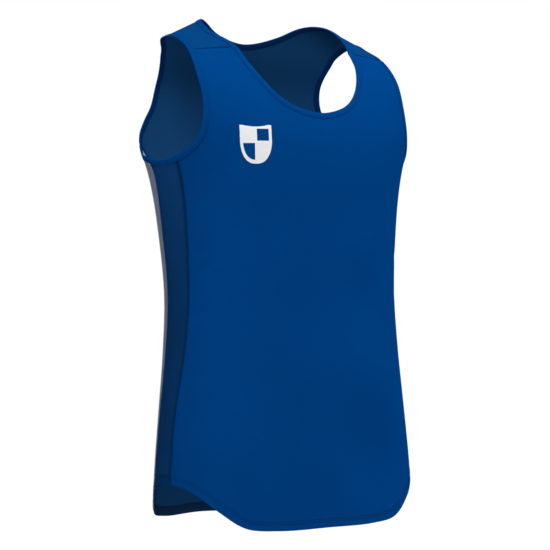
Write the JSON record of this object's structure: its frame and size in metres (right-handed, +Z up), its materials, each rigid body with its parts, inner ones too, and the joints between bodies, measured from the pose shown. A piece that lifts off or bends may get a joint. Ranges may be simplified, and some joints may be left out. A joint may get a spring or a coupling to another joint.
{
  "type": "running singlet",
  "caption": "Sleeveless running singlet, filled out as worn, with bound neck and armholes, mesh side panels and a curved hem.",
  "frame": {"origin": "between the shoulder straps, level with the crest of the shoulders, where the wearer holds the singlet up", "axes": "+Z up, front of the singlet towards -Y, wearer's right towards -X"},
  "size_m": [0.392, 0.2514, 0.7088],
  "materials": {
    "royal_knit": "fine matte polyester knit",
    "royal_binding": "folded knit strip, coverstitched",
    "navy_mesh": "half-sheer fine mesh",
    "white_print": "smooth transfer print"
  },
  "bodies": {
    "root": {"front_panel": "royal_knit", "back_panel": "royal_knit", "side_panel_right": "navy_mesh", "side_panel_left": "navy_mesh", "neck_binding": "royal_binding", "armhole_binding_right": "royal_binding", "armhole_binding_left": "royal_binding", "chest_motif": "white_print"}
  },
  "joints": []
}
